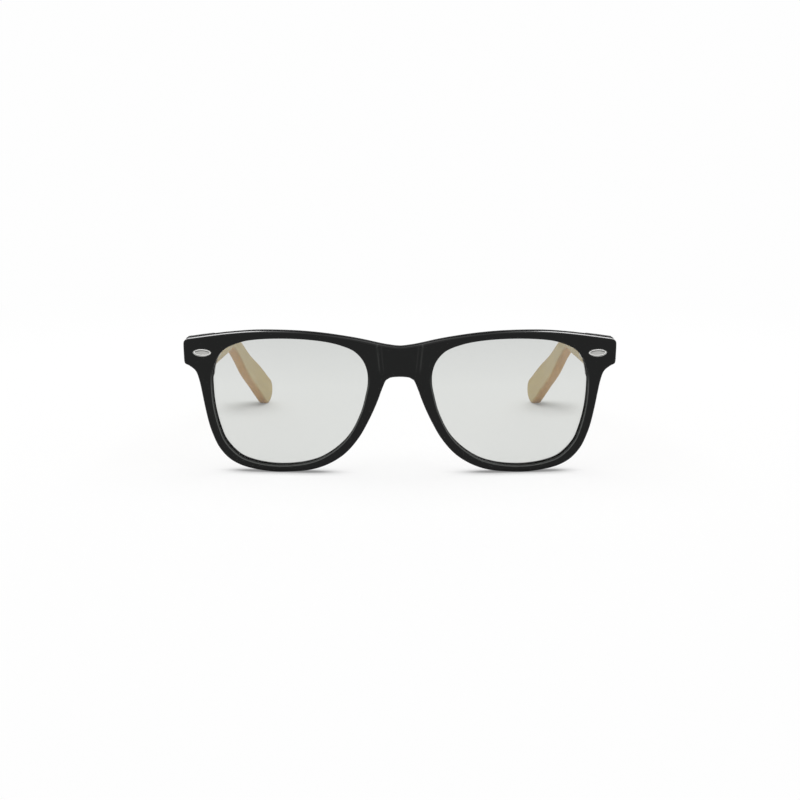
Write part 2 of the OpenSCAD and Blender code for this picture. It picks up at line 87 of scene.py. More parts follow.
opening_points = [
    at(0.914, 0.907), at(0.809, 0.965), at(0.705, 0.989), at(0.556, 1.000), at(0.403, 0.997),
    at(0.270, 0.981), at(0.169, 0.953), at(0.086, 0.910), at(0.030, 0.838), at(0.003, 0.752),
    at(0.000, 0.659), at(0.014, 0.565), at(0.044, 0.433), at(0.107, 0.272), at(0.186, 0.159),
    at(0.289, 0.070), at(0.390, 0.024), at(0.509, 0.001), at(0.631, 0.000), at(0.750, 0.024),
    at(0.839, 0.071), at(0.919, 0.172), at(0.959, 0.287), at(0.988, 0.433), at(1.000, 0.580),
    at(0.998, 0.717), at(0.972, 0.820),
]
edge_points = [
    (0, front_h - bridge_dip), (3.8, front_h - bridge_dip + 0.42),
    at(-0.073, 0.965), at(0.017, 0.989), at(0.116, 1.011),
    at(0.270, 0.982, 0, rim_top), at(0.423, 0.997, 0, rim_top), at(0.577, 1.001, 0, rim_top),
    at(0.730, 0.996, 0, rim_top), at(0.883, 0.977, 0, rim_top), (half_w - 8.9, front_h - 2.05),
    (half_w - 3.9, front_h - 2.9), (half_w - 1.4, front_h - 3.4), (half_w - 0.25, front_h - 4.4),
    (half_w, front_h - 6.3), (half_w, front_h - 9.2), (half_w - 0.05, front_h - 10.7),
    (half_w - 0.6, front_h - 12.0), (half_w - 2.3, front_h - 12.9), (half_w - 4.2, front_h - 14.6),
    at(1.000, 0.650, rim_side + 0.95), at(1.000, 0.569, rim_side + 0.25),
    at(0.988, 0.444, rim_side - 0.1, -0.1), at(0.966, 0.331, rim_side - 0.05, -0.4),
    at(0.945, 0.250, rim_side - 0.2, -0.9), at(0.919, 0.169, rim_side - 0.9, -1.9),
    at(0.862, 0.083, rim_side - 1.25, -rim_bottom + 0.6), at(0.789, 0.026, 1.8, -rim_bottom + 0.7),
    at(0.704, 0.010, 1.0, -rim_bottom + 0.1), at(0.606, 0, 0.5, -rim_bottom - 0.1),
    at(0.511, 0, 0.3, -rim_bottom), at(0.394, 0.012, 0, -rim_bottom + 0.1),
    at(0.304, 0.044, -0.7, -rim_bottom + 0.2), at(0.232, 0.099, -1.9, -rim_bottom + 0.4),
    at(0.187, 0.150, -rim_nose + 1.1, -1.1), at(0.127, 0.252, -rim_nose + 0.6, -0.9),
    at(0.079, 0.368, -rim_nose + 0.3, -0.9), at(0.043, 0.467, -rim_nose + 0.15, -0.9),
    at(0.019, 0.549, -rim_nose, -1.0), at(-0.002, 0.627, -rim_nose, -1.3),
    (4.75, arch_z - 1.5), (3.9, arch_z - 0.72), (2.75, arch_z - 0.2), (0, arch_z),
]


def curve_at(points, where, closed=False, mirrored=False):
    """A smooth curve through points, at the places `where`, counted in points. Between two points
    it is the cubic whose slope at each of them is that of the line through its neighbours. The
    ends of an open curve run on straight, or as the mirror image in the line X = 0."""
    p = np.array(points, float)
    where = np.asarray(where, float)
    if closed:
        i = np.floor(where).astype(int)
        a, b, c, d = (p[(i + k) % len(p)] for k in (-1, 0, 1, 2))
    else:
        first, last = 2 * p[0] - p[1], 2 * p[-1] - p[-2]
        if mirrored:
            first, last = p[1] * (-1, 1), p[-2] * (-1, 1)
        i = np.clip(np.floor(where).astype(int), 0, len(p) - 2)
        p = np.vstack([first, p, last])
        a, b, c, d = (p[i + k] for k in (0, 1, 2, 3))
    t = (where - i)[:, None]
    return 0.5 * (2 * b + (c - a) * t + (2 * a - 5 * b + 4 * c - d) * t**2
                  + (3 * b - a - 3 * c + d) * t**3)


def beside(points, where, **kind):
    """Unit vectors square to that curve, on its right-hand side: the difference of two close
    points, turned by a quarter."""
    d = curve_at(points, where + 1e-3, **kind) - curve_at(points, where - 1e-3, **kind)
    return np.stack([d[:, 1], -d[:, 0]], 1) / np.hypot(d[:, 0], d[:, 1])[:, None]


def step_up(x):
    """0 below 0, 1 above 1, and the smooth cubic 3x^2 - 2x^3 between."""
    x = np.clip(x, 0, 1)
    return x * x * (3 - 2 * x)


def bowed(x, depth):
    """Distance back of a point `depth` behind the face, which is a cylinder of radius bow_r."""
    return bow_r - np.sqrt((bow_r - depth) ** 2 - x**2)


def leant(x, y, z):
    """From the upright front's own frame to the part's frame, in metres: turned about X by the
    lean, moved by mid_y and drop, and cut level with the ground."""
    back = y * math.cos(lean) - z * math.sin(lean) - mid_y
    up = np.maximum(y * math.sin(lean) + z * math.cos(lean) + drop, 0)
    return np.stack(np.broadcast_arrays(x, back, up), -1) / 1000


def wrapped(x, y):
    """Where the opening's wall lies at distance back y: the opening is turned about its middle by
    `wrap`, so that its back lies nearer the nose."""
    return lens_mid + (x - lens_mid) / math.cos(wrap) - (y - lens_face) * math.tan(wrap)


def shell(name, points, faces, finish=None, **carried):
    """A closed mesh object: doubles merged, normals out, smooth but for edges over 40 degrees.
    Each array in `carried` is kept on its points, as an attribute for the material to read."""
    mesh = bpy.data.meshes.new(name)
    mesh.from_pydata(np.reshape(points, (-1, 3)).tolist(), [], [list(f) for f in faces])
    for key, values in carried.items():
        kind, field = ("FLOAT", "value") if values.ndim == 1 else ("FLOAT_VECTOR", "vector")
        mesh.attributes.new(key, kind, "POINT").data.foreach_set(field, values.ravel())
    if finish is not None:
        mesh.polygons.foreach_set("material_index", np.asarray(finish, np.int32))
    b = bmesh.new()
    b.from_mesh(mesh)
    bmesh.ops.remove_doubles(b, verts=b.verts, dist=1e-6)
    bmesh.ops.delete(b, geom=[v for v in b.verts if not v.link_faces], context="VERTS")
    bmesh.ops.recalc_face_normals(b, faces=b.faces)
    b.to_mesh(mesh)
    b.free()
    mesh.shade_smooth()
    mesh.set_sharp_from_angle(angle=math.radians(40))
    piece = bpy.data.objects.new(name, mesh)
    bpy.context.scene.collection.objects.link(piece)
    return piece


# Lines of the grid run from the opening to the edge: lines_edge are their places on the edge,
# close together where it bends, and lines_opening their places on the opening.
edge_end = len(edge_points) - 1
fine = np.linspace(0, edge_end, 40 * edge_end + 1)
run = np.hypot(*np.diff(curve_at(edge_points, fine, mirrored=True), axis=0).T)
spacing = np.interp(fine[1:], [0, 9.4, 9.8, 20, 21, 33, 38, 40, 43],
                    [0.5, 0.5, 0.24, 0.24, 0.6, 0.5, 0.4, 0.3, 0.3])
count = np.concatenate([[0], np.cumsum(run / spacing)])
walled = int(count[-1]) + 1
lines_edge = np.interp(np.linspace(0, count[-1], walled), count, fine)
lines_opening = np.interp(
    lines_edge,
    [0, 3, 4, 5, 6, 7, 8, 9, 9.8, 19.5, 21, 22, 24,
     26, 28, 30, 32, 34, 36, 38, 39, 40, 41, 42, 43],
    [8.2, 7, 6, 5, 4, 3, 1.9, 0.6, -1.25, -2.25, -3, -4, -5.4,
     -6.6, -8.2, -9.95, -11.7, -13.2, -14.6, -15.8, -16.3, -17.0, -17.45, -17.75, -18.0])
# Further lines, which end on the middle of the bridge instead of on the edge.
bridge = 22
lines_opening = np.concatenate([lines_opening, np.linspace(-18.0, -18.8, bridge + 1)[1:-1]])
lines = len(lines_opening)

opening = curve_at(opening_points, lines_opening, closed=True)
opening_out = beside(opening_points, lines_opening, closed=True)
edge = np.zeros((lines, 2))
edge_in = np.zeros((lines, 2))
edge[:walled] = curve_at(edge_points, lines_edge, mirrored=True)
edge_in[:walled] = beside(edge_points, lines_edge, mirrored=True)
edge_in[[0, walled - 1], 0] = 0

# Roundings along the edge: nearly sharp along the brow, full at the bridge and under the nose. The
# polished half stands back by `seam` from the satin one, and `lip` rounds the opening.
lip, seam, round_back = 0.5, 0.14, 0.7
round_front = np.full(lines, 1.0)
round_front[:walled] = np.interp(
    lines_edge, [0, 2.5, 4, 5.5, 8, 12, 15, 20, 28, 36, 40, 43],
    [1.5, 1.5, 1.2, 0.75, 0.45, 0.4, 0.5, 0.7, 0.75, 0.8, 1.0, 1.2])
seam_depth = np.full(lines, 2.2)
seam_depth[:walled] = np.interp(lines_edge, [0, 3, 6, 9, 12, 43], [1.9, 1.9, 2.1, 2.4, 2.4, 2.3])
top_z = edge[0, 1]
in_bridge = np.arange(1, bridge) / bridge

# The end piece stands back as far as the temple's joint, between two places on the edge. Inside
# leaf_edge its joint face lies nearer the front, with a step as wide as leaf_step.
block_from, block_to = 9.66, 19.75
block = np.zeros(lines)
block[:walled] = step_up((lines_edge - block_from) / 0.34) * step_up((block_to - lines_edge) / 0.4)
leaf_edge, leaf_step = 65.75, 0.3


def back_at(xz):
    """Distance back of the rear face: the bowed plate's, or the end piece's joint face, which is
    square to the temple and steps forward inside leaf_edge."""
    joint = block_y - (block_y - leaf_y) * step_up((leaf_edge - xz[..., 0]) / leaf_step)
    joint = (joint + xz[..., 1] * math.sin(lean)) / math.cos(lean)
    return bowed(xz[..., 0], front_t) * (1 - block) + joint * block


# Two creases on each side of the bridge, crease_gap apart, run outward as they rise. They begin
# at crease_foot and are at full depth crease_fade above it.
crease_x, crease_flare, crease_gap = 6.85, 0.7, 1.3
crease_foot, crease_fade = 34.2, 3.5


def crease_at(z):
    """Distance of the bridge's outer crease from the middle: crease_x at z = 36.9, and farther
    out by crease_flare 7.3 mm above it."""
    return crease_x + crease_flare * np.clip((z - 36.9) / 7.3, -0.5, 1.1)


def face_at(xz, depth):
    """Distance back of the front half: the bowed face, set back by 0.20 mm inside the outer
    crease and by 0.10 mm more inside the inner one. Both steps end at the seam."""
    x, z = xz[..., 0], xz[..., 1]
    outer = 0.20 * step_up((crease_at(z) - x) / 0.45)
    inner = 0.10 * step_up((crease_at(z) - crease_gap - x) / 0.5)
    fade = step_up((z - crease_foot) / crease_fade) * np.clip(1 - depth / seam_depth, 0, 1)
    return bowed(x, depth) + (outer + inner) * fade


def crowded(shares, start, end, near, far, reach):
    """Shares of the lines from start to end, bunched so that half of them lie between X = near
    and X = far, by as much as `reach` says for each line, and else left as they are."""
    span = np.minimum(end[:, 0] - start[:, 0], -0.5)
    low, high = (np.clip((x - start[:, 0]) / span, 0, 1)[:, None] for x in (near, far))
    s = shares[None, :]
    bunched = np.where(s < 0.25, s / 0.25 * low,
                       np.where(s < 0.75, low + (s - 0.25) / 0.5 * (high - low),
                                high + (s - 0.75) / 0.25 * (1 - high)))
    return reach[:, None] * bunched + (1 - reach[:, None]) * s


stations = []


def station(xz, y, finish, over_bridge=True):
    """One more ring of the section: its points, and the finish of the strip that follows it."""
    stations.append((xz, y, finish, over_bridge))


POLISHED, SATIN, MATT = 0, 1, 2
groove_front, groove_back = lens_inset, lens_inset + lens_t + 0.1


def around(grow, depth):
    """The opening grown by `grow`, with its distance back given by `depth` of its own place."""
    even = opening + opening_out * grow
    xz = even.copy()
    for _ in range(6):
        xz[:, 0] = wrapped(even[:, 0], depth(xz))
    return xz, depth(xz)


for grow, deep in ((0, groove_back), (groove_d, groove_back),
                   (groove_d, groove_front), (0, groove_front)):
    station(*around(grow, lambda xz: bowed(xz[:, 0], deep)), MATT)
for angle in np.radians([0, 18, 36, 54, 72, 90]):
    xz, y = around(lip * (1 - math.cos(angle)),
                   lambda xz: face_at(xz, lip * (1 - math.sin(angle))))
    station(xz, y, POLISHED)

face_start = xz
face_end = edge + edge_in * (round_front + seam)[:, None]
face_end[walled:, 1] = (arch_z + round_front[walled - 1] + seam) * (1 - in_bridge) \
    + (top_z - round_front[0] - seam) * in_bridge
# Where each line crosses the outer crease, and which lines do: those that end inside it and above
# the arch.
crossing = (crease_x + crease_flare / 2 - face_start[:, 0]) \
    / np.minimum(face_end[:, 0] - face_start[:, 0], -0.5)
crease = crease_at(face_start[:, 1] + crossing * (face_end[:, 1] - face_start[:, 1]))
reach = np.clip((crease + 0.3 - face_end[:, 0]) / 1.5, 0, 1) \
    * step_up((face_end[:, 1] - 29.5) / 3) * (face_end[:, 0] < 9)
# Evened out over neighbouring lines, so that the grid nowhere turns over.
reach = sum(np.roll(reach, k) for k in range(-5, 6)) / 11
shares = crowded(np.arange(1, 25) / 25, face_start, face_end, crease + 0.25, crease - 2.0, reach)
for share in shares.T:
    xz = face_start + share[:, None] * (face_end - face_start)
    station(xz, face_at(xz, 0), POLISHED)

for angle in np.radians([0, 15, 30, 45, 60, 75, 90]):
    xz = face_end + edge_in * -(round_front * math.sin(angle))[:, None]
    station(xz, face_at(xz, round_front * (1 - math.cos(angle))), POLISHED, False)
front_edge = edge + edge_in * seam
for share in (0.5, 1):
    station(front_edge, face_at(front_edge, round_front + share * (seam_depth - round_front)),
            POLISHED if share < 1 else SATIN, False)
rear = back_at(edge)
wall_start = face_at(edge, seam_depth + 0.1)
plate_end = np.minimum(bowed(edge[:, 0], front_t), rear - round_back)
for share in (0, 0.5, 1):
    station(edge, wall_start + share * (plate_end - wall_start), SATIN, False)
for share in (0.08, 0.35, 0.65):
    station(edge, plate_end + share * (rear - round_back - plate_end), SATIN, False)

# Nose pads: the rear face rises to a rounded fin that leans away from the nose. Seen from the side
# it is a disc as high as pad_h, sunk by pad_sunk into the rim and cut off at pad_d.
pad_middle, pad_tilt, pad_d, pad_h = np.array((10.5, 19.2)), math.radians(25.9), 5.0, 13.5
pad_sunk, pad_half_w = 1.5, 1.95
along_pad = (edge - pad_middle) @ np.array((-math.sin(pad_tilt), math.cos(pad_tilt)))
pad = np.clip(np.sqrt(np.clip((pad_h / 2) ** 2 - along_pad**2, 0, None)) - pad_sunk, 0, pad_d)
# Only the nasal side of the rim bears it.
pad[walled:] = 0
pad[:walled][lines_edge < 33] = 0


def with_pad(xz, y):
    """Lifts rear-face points into the fin: across the rim its height follows the curve
    (1 - u^4)^(1/2), while it narrows by half at full height."""
    off = np.hypot(*(xz - edge).T)
    rise = pad * np.sqrt(np.clip(1 - ((off - pad_half_w) / pad_half_w) ** 4, 0, 1))
    shift = rise / pad_d * -0.5 * (off - pad_half_w)
    return xz + edge_in * shift[:, None], y + rise


for angle in np.radians([0, 18, 36, 54, 72, 90]):
    on_rear = angle > 1.5
    xz = edge + edge_in * round_back * (1 - math.cos(angle))
    if on_rear:
        xz[walled:, 1] = (arch_z + round_back) * (1 - in_bridge) + (top_z - round_back) * in_bridge
    station(*with_pad(xz, back_at(xz) - round_back * (1 - math.sin(angle))),
            POLISHED if on_rear else SATIN, on_rear)
back_start = xz
back_end = around(lip, back_at)[0]
# Close together at both ends, and round the step beside the leaf.
reach = np.clip(back_start[:, 0] - leaf_edge - 0.15, 0, 1) * (block > 0)
close_at_ends = 0.5 - 0.5 * np.cos(np.pi * np.arange(1, 27) / 27)
shares = crowded(close_at_ends, back_start, back_end,
                 leaf_edge + 0.1, leaf_edge - leaf_step - 0.1, reach)
for share in shares.T:
    xz = back_start + share[:, None] * (back_end - back_start)
    station(*with_pad(xz, back_at(xz)), POLISHED)
for angle in np.radians([0, 22, 45, 67, 90]):
    xz, y = around(lip * (1 - math.sin(angle)),
                   lambda xz: back_at(xz) - lip * (1 - math.cos(angle)))
    station(*with_pad(xz, y), POLISHED)
for share in (0.66, 0.33):
    station(*around(0, lambda xz: bowed(xz[:, 0], groove_back) * (1 - share)
                    + (back_at(xz) - lip) * share), MATT)

xz = np.stack([s[0] for s in stations], 1)
y = np.stack([s[1] for s in stations], 1)
x, z = xz[..., 0], xz[..., 1]


def trimmed(place, limit, where):
    """The smaller of a place and its limit, where asked, with the corner between them rounded:
    -s ln(e^(-place/s) + e^(-limit/s)) with s = 0.08 mm."""
    s = 0.08
    return np.where(where, -s * np.logaddexp(-place / s, -limit / s), place)


# The wing's outer side closes in toward the temple over its last 7 mm.
side_angle, top_angle = math.radians(21), math.radians(16)
upright = y * math.cos(lean) - z * math.sin(lean)
x = trimmed(x, half_w - 0.2 - (upright - (block_y - 7)) * math.tan(side_angle), x > 66)
# Behind the plate its top falls back to the temple's upper edge.
temple_h = 10.4
axis_z = front_h - 9.0 + drop
limit = axis_z + temple_h / 2 + (block_y - upright) * math.tan(top_angle)
limit = (limit - drop - y * math.sin(lean)) / math.cos(lean) \
    + 4 * step_up(1 - (y - bowed(x, front_t)) / 0.5)
z = trimmed(z, limit, x > 62)
points = leant(x, y, z)
# Painted highlight, a paler base colour where the light catches: along the bridge's creases, and
# on the front lip of the lower half of each opening. The stations are those of the lip, and of the
# face and its edge.
on_lip, on_face = slice(4, 10), slice(10, 41)
rub = np.zeros(x.shape)
rub[:, on_lip] = np.array([0, 0, 0.2, 0.7, 1.0, 0.5]) * step_up((36 - z[:, on_lip]) / 8)
away = x[:, on_face] - crease_at(z[:, on_face])
rub[:, on_face] = step_up((z[:, on_face] - crease_foot) / crease_fade) \
    * (0.24 * np.exp(-(away / 0.24) ** 2) + 0.11 * np.exp(-((away + crease_gap) / 0.22) ** 2))

number = np.arange(lines * len(stations)).reshape(lines, -1)
following = np.roll(number, -1, 0)
quads = np.stack([number, np.roll(number, -1, 1), np.roll(following, -1, 1), following], -1)
strip = np.array([s[2] for s in stations])
kept = np.ones(number.shape, bool)
kept[walled - 1:, [not s[3] for s in stations]] = False
half = quads[kept]
finish = np.broadcast_to(strip, number.shape)[kept]
mirrored_points = points * (-1, 1, 1)
front = shell("front",
              np.concatenate([points.reshape(-1, 3), mirrored_points.reshape(-1, 3)]),
              np.concatenate([half, half[:, ::-1] + number.size]),
              np.tile(finish, 2), rub=np.tile(rub.ravel(), 2))


def material(name):
    """A new node material: its tree and its Principled shader."""
    made = bpy.data.materials.new(name)
    made.use_nodes = True
    return made, made.node_tree, made.node_tree.nodes["Principled BSDF"]


def node(tree, kind, inputs=(), **settings):
    """A node of that kind with its settings and inputs set."""
    n = tree.nodes.new("ShaderNode" + kind)
    for key, value in settings.items():
        setattr(n, key, value)
    for key, value in dict(inputs).items():
        if isinstance(value, bpy.types.NodeSocket):
            tree.links.new(value, n.inputs[key])
        else:
            n.inputs[key].default_value = value
    return n


# Marks of handling, on the plastic and the metal: faint smears that dull the gloss, and fine
# hairline scratches.
marks = bpy.data.node_groups.new("handling_marks", "ShaderNodeTree")
marks.interface.new_socket("Position", in_out="INPUT", socket_type="NodeSocketVector")
for socket in ("Gloss", "Smears"):
    marks.interface.new_socket(socket, in_out="INPUT", socket_type="NodeSocketFloat")
for socket in ("Roughness", "Height"):
    marks.interface.new_socket(socket, in_out="OUTPUT", socket_type="NodeSocketFloat")
given = marks.nodes.new("NodeGroupInput")
result = marks.nodes.new("NodeGroupOutput")
smear = node(marks, "TexNoise", {"Vector": given.outputs["Position"],
                                 "Scale": 90.0, "Detail": 3.0})
hair_place = node(marks, "Mapping", {"Vector": given.outputs["Position"],
                                     "Rotation": (0.3, 0.5, 0.6), "Scale": (250.0, 250.0, 4500.0)})
hair = node(marks, "TexNoise", {"Vector": hair_place.outputs["Vector"],
                                "Scale": 1.0, "Detail": 2.0})
dulled = node(marks, "MapRange", {"Value": smear.outputs["Fac"],
                                  "From Min": 0.45, "From Max": 0.75,
                                  "To Min": 0.0, "To Max": given.outputs["Smears"]})
total = node(marks, "Math", {0: given.outputs["Gloss"], 1: dulled.outputs["Result"]},
             operation="ADD")
marks.links.new(total.outputs[0], result.inputs["Roughness"])
marks.links.new(hair.outputs["Fac"], result.inputs["Height"])


def marked(tree, shader, gloss, smears, height):
    """Puts the handling marks in a material: its roughness, and a faint bump unless the height
    is 0. Gives back the node that its textures take their place from."""
    place = tree.nodes.new("ShaderNodeTexCoord")
    wear = tree.nodes.new("ShaderNodeGroup")
    wear.node_tree = marks
    tree.links.new(place.outputs["Object"], wear.inputs["Position"])
    wear.inputs["Gloss"].default_value = gloss
    wear.inputs["Smears"].default_value = smears
    tree.links.new(wear.outputs["Roughness"], shader.inputs["Roughness"])
    if height:
        bump = node(tree, "Bump", {"Height": wear.outputs["Height"],
                                   "Strength": 0.12, "Distance": height})
        tree.links.new(bump.outputs["Normal"], shader.inputs["Normal"])
    return place


def plastic(name, tone, gloss, shine, smears):
    """Black plastic: one deep tone that varies a little, with its gloss and its reflectance."""
    made, tree, shader = material(name)
    place = marked(tree, shader, gloss, smears, 0.00002)
    cloud = node(tree, "TexNoise", {"Vector": place.outputs["Object"],
                                    "Scale": 45.0, "Detail": 2.0})
    colour = node(tree, "ValToRGB", {"Fac": cloud.outputs["Fac"]})
    colour.color_ramp.elements[0].color = (tone * 0.86, tone * 0.90, tone * 0.88, 1)
    colour.color_ramp.elements[1].color = (tone * 1.10, tone * 1.16, tone * 1.13, 1)
    # Painted highlight: the base colour is mixed toward a pale grey where the mesh carries it.
    rubbed = node(tree, "Attribute", attribute_name="rub", attribute_type="GEOMETRY")
    highlighted = node(tree, "Mix", {0: rubbed.outputs["Fac"], 6: colour.outputs["Color"],
                               7: (0.125, 0.13, 0.125, 1)}, data_type="RGBA", blend_type="MIX")
    tree.links.new(highlighted.outputs[2], shader.inputs["Base Color"])
    shader.inputs["Specular IOR Level"].default_value = shine
    return made


front.data.materials.append(plastic("polished_black", 0.0090, 0.10, 0.14, 0.08))
front.data.materials.append(plastic("satin_black", 0.0085, 0.50, 0.06, 0.10))
front.data.materials.append(plastic("matt_black_edge", 0.0050, 0.55, 0.05, 0.08))
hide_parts("frame_front")
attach(front, "front")

# ---- Lenses -----------------------------------------------------------------
# Two pale grey plastic lenses, 2 mm thick and bowed with the front, snapped into the groove that
# runs round each opening. Their bevelled edge is hidden in it.
lens_play, lens_bevel = 0.05, 0.35
turn = np.linspace(0, len(opening_points), 217)[:-1]
lens_edge = curve_at(opening_points, turn, closed=True) \
    + (groove_d - lens_play) * beside(opening_points, turn, closed=True)
lens_middle = lens_edge.mean(0)
lens_front, lens_back = lens_inset + lens_play, lens_inset + lens_play + lens_t
# The section from the middle out to the edge and back: shares of the way out, and depths.
outward = np.concatenate([np.arange(1, 14) / 14, [0.97, 0.990]])
profile = [(s, lens_front) for s in outward] \
    + [(1.0, lens_front + lens_bevel), (1.0, lens_back - lens_bevel)] \
    + [(s, lens_back) for s in outward[::-1]]
share = np.array([p[0] for p in profile])[None, :, None]
deep = np.array([p[1] for p in profile])[None, :]
lens_xz = lens_middle + share * (lens_edge - lens_middle)[:, None, :]
lens_x = lens_xz[..., 0]
for _ in range(6):
    lens_x = wrapped(lens_xz[..., 0], bowed(lens_x, deep))
lens_y = bowed(lens_x, deep)
poles = leant(lens_middle[0], bowed(lens_middle[0], np.array([lens_front, lens_back])),
              lens_middle[1])


def round_trip(shape):
    """Numbers of the points of a grid that closes on itself in its first direction, those of
    the next ones round, and the quads between them."""
    number = np.arange(shape[0] * shape[1]).reshape(shape)
    ahead = np.roll(number, -1, 0)
    quads = np.stack([number[:, :-1], number[:, 1:], ahead[:, 1:], ahead[:, :-1]], -1)
    return number, ahead, quads.reshape(-1, 4)


number, ahead, skin = round_trip(lens_y.shape)
caps = np.concatenate([
    np.stack([number[:, 0], ahead[:, 0], np.full(len(turn), number.size)], 1),
    np.stack([ahead[:, -1], number[:, -1], np.full(len(turn), number.size + 1)], 1)])
lens_points = np.concatenate([leant(lens_x, lens_y, lens_xz[..., 1]).reshape(-1, 3), poles])

lens_glass, tree, shader = material("pale_grey_lens")
place = tree.nodes.new("ShaderNodeTexCoord")
cast = node(tree, "TexNoise", {"Vector": place.outputs["Object"], "Scale": 14.0, "Detail": 1.0})
tint = node(tree, "ValToRGB", {"Fac": cast.outputs["Fac"]})
tint.color_ramp.elements[0].color = (0.700, 0.716, 0.698, 1)
tint.color_ramp.elements[1].color = (0.720, 0.732, 0.713, 1)
# The lens is a little darker toward the brow.
height = node(tree, "SeparateXYZ", {0: place.outputs["Object"]})
toward_brow = node(tree, "MapRange", {"Value": height.outputs["Z"],
                                      "From Min": 0.030, "From Max": 0.046})
shade = node(tree, "ValToRGB", {"Fac": toward_brow.outputs["Result"]})
shade.color_ramp.elements[0].color = (1, 1, 1, 1)
shade.color_ramp.elements[1].color = (0.90, 0.90, 0.905, 1)
graded = node(tree, "Mix", {0: 1.0, 6: tint.outputs["Color"], 7: shade.outputs["Color"]},
              data_type="RGBA", blend_type="MULTIPLY")
tree.links.new(graded.outputs[2], shader.inputs["Base Color"])
shader.inputs["Transmission Weight"].default_value = 1.0
shader.inputs["Roughness"].default_value = 0.0
shader.inputs["IOR"].default_value = 1.5
through = node(tree, "BsdfTransparent", {"Color": (0.80, 0.82, 0.80, 1)})
rays = tree.nodes.new("ShaderNodeLightPath")
pane = node(tree, "MixShader", {0: rays.outputs["Is Shadow Ray"], 1: shader.outputs["BSDF"],
                                2: through.outputs["BSDF"]})
tree.links.new(pane.outputs["Shader"], tree.nodes["Material Output"].inputs["Surface"])
for side, sign in (("left", -1), ("right", 1)):
    lens = shell("lens_pane_" + side, lens_points * (sign, 1, 1),
                 skin.tolist() + caps.tolist())
    lens.data.materials.append(lens_glass)
    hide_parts("lens_" + side)
    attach(lens, "front")

# ---- Oval plates ------------------------------------------------------------
# A small nickel-plated oval on each wing, held by two pins: a thin foot, a rounded polished ring
# and a sunk middle that is brushed from side to side.
oval_x, oval_z, oval_half_w, oval_half_h = lens_out + 2.95, front_h - 7.75, 3.0, 1.12
oval_turn = math.asin(oval_x / bow_r)
round_oval = np.radians(np.arange(0, 360, 4))
# The section from the foot over the ring to the middle: how far outside the oval, and how high.
oval_profile = np.array([
    (0.26, -0.30), (0.26, 0.03), (0.22, 0.06), (0.14, 0.06), (0.10, 0.02), (0.06, 0.02),
    (0.04, 0.08), (0.00, 0.16), (-0.03, 0.24), (-0.08, 0.31), (-0.16, 0.35), (-0.26, 0.34),
    (-0.33, 0.29), (-0.37, 0.21), (-0.40, 0.17), (-0.48, 0.155), (-0.62, 0.15), (-0.80, 0.15),
    (-0.98, 0.15)])
out, high = oval_profile[:, 0][None, :], oval_profile[:, 1][None, :]
# The foot is set off centre, down and outward, so that it shows only there.
lower_side = np.clip(np.cos(round_oval + math.radians(55)), 0, 1)[:, None]
out = np.where(out > 0.11, out * (0.35 + 1.0 * lower_side), out)
across = (oval_half_w + out) * np.cos(round_oval)[:, None]
upward = (oval_half_h + out) * np.sin(round_oval)[:, None]
for ways in (across, upward):
    ways[:, -3:] = ways[:, [-4]] * np.array([0.85, 0.55, 0.2])
high = np.broadcast_to(high, across.shape)
plate_x = bow_r * math.sin(oval_turn) + across * math.cos(oval_turn) + high * math.sin(oval_turn)
plate_y = bow_r - bow_r * math.cos(oval_turn) + across * math.sin(oval_turn) \
    - high * math.cos(oval_turn)
plate_points = leant(plate_x, plate_y, oval_z + upward)
number, _, skin = round_trip(across.shape)
ends = [number[:, 0].tolist(), number[::-1, -1].tolist()]
# Painted shade, darker metal: in the gap over the foot, and under the upper side of the ring,
# where shade falls.
under_ring = np.array([0, 0, 0, 0, 0, 0, 0, 0, 0, 0, 0, 0.1, 0.8, 1.0, 1.0, 1.0, 0.55, 0, 0])
over_foot = np.array([0, 0, 0.3, 1.0, 1.0, 0.9, 0.2, 0, 0, 0, 0, 0, 0, 0, 0, 0, 0, 0, 0])
polish_left = 0.85 * over_foot \
    + 0.9 * under_ring * step_up((np.sin(round_oval) + 0.05) / 0.5)[:, None]
# The faces from the ring's inner foot inward are the brushed middle.
in_middle = np.tile(np.arange(len(under_ring) - 1) >= 14, len(round_oval))


def metal(name, tone, gloss, smears, brushed=None):
    """Metal: its tone, varied by small spots and dulled by smears, darkened by painted shade where
    the mesh asks for it, and brushed if asked, where `brushed` is how fine the grit is along each
    axis."""
    made, tree, shader = material(name)
    place = marked(tree, shader, gloss, smears, 0 if brushed else 0.00001)
    spots = node(tree, "TexNoise", {"Vector": place.outputs["Object"],
                                    "Scale": 260.0, "Detail": 3.0})
    colour = node(tree, "ValToRGB", {"Fac": spots.outputs["Fac"]})
    colour.color_ramp.elements[0].color = (*(0.88 * c for c in tone), 1)
    colour.color_ramp.elements[1].color = (*(min(1, 1.06 * c) for c in tone), 1)
    shader.inputs["Metallic"].default_value = 1.0
    # Painted shade: the tone is mixed toward near black where the mesh carries it.
    left = node(tree, "Attribute", attribute_name="polish_left", attribute_type="GEOMETRY")
    darker = node(tree, "Mix", {0: left.outputs["Fac"], 6: colour.outputs["Color"],
                                7: (0.03, 0.03, 0.028, 1)}, data_type="RGBA", blend_type="MIX")
    tree.links.new(darker.outputs[2], shader.inputs["Base Color"])
    if brushed:
        lay = node(tree, "Mapping", {"Vector": place.outputs["Object"], "Scale": brushed})
        grit = node(tree, "TexNoise", {"Vector": lay.outputs["Vector"],
                                       "Scale": 1.0, "Detail": 3.0})
        bump = node(tree, "Bump", {"Height": grit.outputs["Fac"],
                                   "Strength": 0.35, "Distance": 0.00003})
        tree.links.new(bump.outputs["Normal"], shader.inputs["Normal"])
    return made


